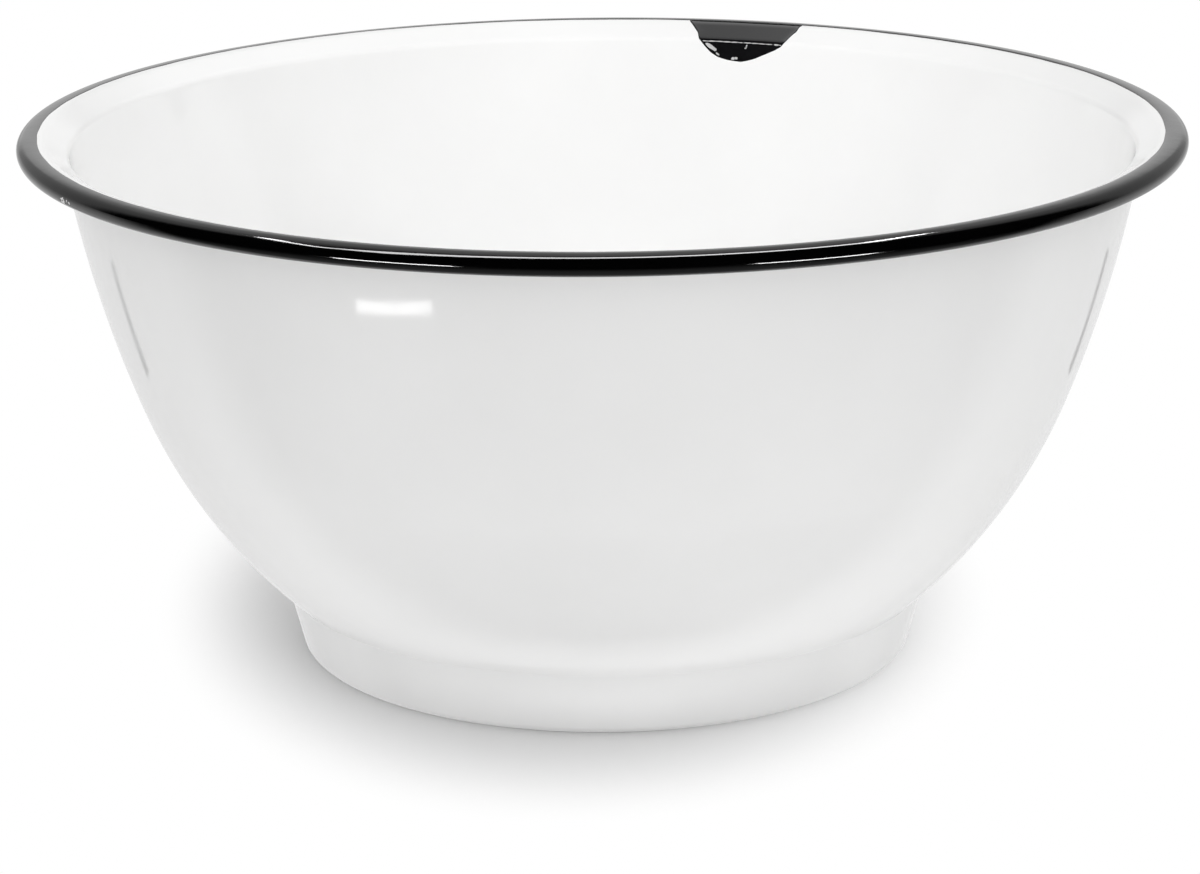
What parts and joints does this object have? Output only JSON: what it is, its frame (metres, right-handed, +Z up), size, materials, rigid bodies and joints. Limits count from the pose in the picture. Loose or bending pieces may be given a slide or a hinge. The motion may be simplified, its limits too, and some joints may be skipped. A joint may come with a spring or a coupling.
{
  "type": "enamel basin bowl",
  "caption": "Deep round enamelled steel basin bowl with a curved wall, a stepped pressed foot, a flared lip and a rolled black rim, white inside and out.",
  "frame": {"origin": "centre of the standing ring, on the table plane", "axes": "+Z up along the axis of the bowl; -Y is the side that faces the viewer of the picture, and the chip in the rim is at the back, 17 degrees clockwise from +Y seen from above"},
  "size_m": [0.2999, 0.3, 0.139],
  "materials": {
    "sheet_steel": "pressed sheet steel, hidden under the enamel",
    "ground_enamel": "glossy dark ground coat, shows only in the chip",
    "white_enamel": "glossy white vitreous enamel, slightly wavy",
    "black_enamel": "glossy black vitreous enamel with a hand-dipped edge"
  },
  "bodies": {
    "root": {"steel_shell": "sheet_steel", "ground_coat_inside": "ground_enamel", "ground_coat_outside": "ground_enamel", "white_coat_inside": "white_enamel", "white_coat_outside": "white_enamel", "black_rim_coat": "black_enamel"}
  },
  "joints": []
}
